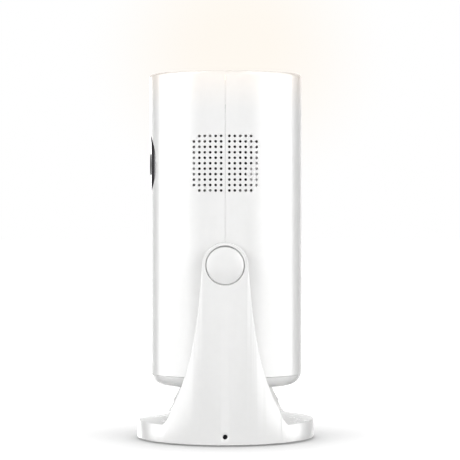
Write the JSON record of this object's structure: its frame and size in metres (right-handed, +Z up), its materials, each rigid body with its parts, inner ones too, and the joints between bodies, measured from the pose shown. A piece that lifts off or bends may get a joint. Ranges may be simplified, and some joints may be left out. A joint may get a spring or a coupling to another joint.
{
  "type": "baby monitor camera",
  "caption": "Upright cylindrical nursery camera with a speaker grille and nightlight top, held by a two-armed oval stand so that the head tilts.",
  "frame": {"origin": "middle of the stand's footprint, on the surface that the feet rest on", "axes": "+Z up, -Y is where the lens looks, X runs along the tilt axis; the speaker grille is on the +X side"},
  "size_m": [0.08, 0.0696, 0.1433],
  "materials": {
    "white_gloss": "smooth moulded gloss",
    "white_satin": "satin moulded",
    "warm_diffuser": "milky, lit from behind",
    "smoked_window": "polished smoked acrylic",
    "black_plastic": "fine texture",
    "lens_glass": "coated lens",
    "green_board": "lacquered circuit board",
    "lamp_resin": "clear to milky resin",
    "dark_screw": "blackened steel",
    "bright_steel": "plated",
    "cast_ballast": "rough cast",
    "grey_rubber": "matte",
    "bush_acetal": "waxy natural acetal",
    "paper_cone": "pressed paper"
  },
  "bodies": {
    "stand": {"stand_shell": "white_gloss", "pivot_cap_left": "white_gloss", "pivot_cap_right": "white_gloss", "arm_liner_left": "white_satin", "arm_liner_right": "white_satin", "base_plate": "white_satin", "stand_screw_left": "dark_screw", "stand_screw_right": "dark_screw", "ballast_weight": "cast_ballast", "rubber_foot_1": "grey_rubber", "base_screw_1": "bright_steel", "rubber_foot_2": "grey_rubber", "base_screw_2": "bright_steel", "rubber_foot_3": "grey_rubber", "base_screw_3": "bright_steel", "rubber_foot_4": "grey_rubber", "base_screw_4": "bright_steel", "pivot_bush_left": "bush_acetal", "pivot_bush_right": "bush_acetal"},
    "head": {"front_shell": "white_gloss", "rear_shell": "white_gloss", "bottom_cap": "white_gloss", "light_reflector": "white_satin", "nightlight_diffuser": "warm_diffuser", "lens_window": "smoked_window", "lens_barrel": "black_plastic", "light_sensor": "black_plastic", "main_chip": "black_plastic", "antenna": "black_plastic", "power_socket": "black_plastic", "pair_switch": "black_plastic", "light_switch": "black_plastic", "front_lens": "lens_glass", "sensor_board": "green_board", "infrared_board": "green_board", "nightlight_board": "green_board", "main_board": "green_board", "button_board": "green_board", "nightlight_led_1": "lamp_resin", "nightlight_led_2": "lamp_resin", "nightlight_led_3": "lamp_resin", "infrared_led_1": "lamp_resin", "infrared_led_2": "lamp_resin", "infrared_led_3": "lamp_resin", "infrared_led_4": "lamp_resin", "status_light_pipe": "lamp_resin", "speaker_magnet": "cast_ballast", "speaker_cone": "paper_cone", "speaker_frame": "bright_steel", "microphone": "bright_steel", "head_screw_lower": "bright_steel", "head_screw_upper": "bright_steel", "pivot_axle_left": "bush_acetal", "spring_washer_left": "bright_steel", "pivot_screw_left": "bright_steel", "pivot_axle_right": "bush_acetal", "spring_washer_right": "bright_steel", "pivot_screw_right": "bright_steel"},
    "pair_key": {"pair_button": "white_satin"},
    "light_key": {"light_button": "white_satin"}
  },
  "joints": [
    {"name": "head_tilt", "type": "hinge", "parent": "stand", "child": "head", "pos_m": [0, 0, 0.0687], "axis": [1, 0, 0], "range_deg": [-30, 30]},
    {"name": "pair_press", "type": "slide", "parent": "head", "child": "pair_key", "axis": [0, -1, 0], "range_m": [0, 0.0007], "stiffness_N_per_m": 400},
    {"name": "light_press", "type": "slide", "parent": "head", "child": "light_key", "axis": [0, -1, 0], "range_m": [0, 0.0007], "stiffness_N_per_m": 400}
  ]
}
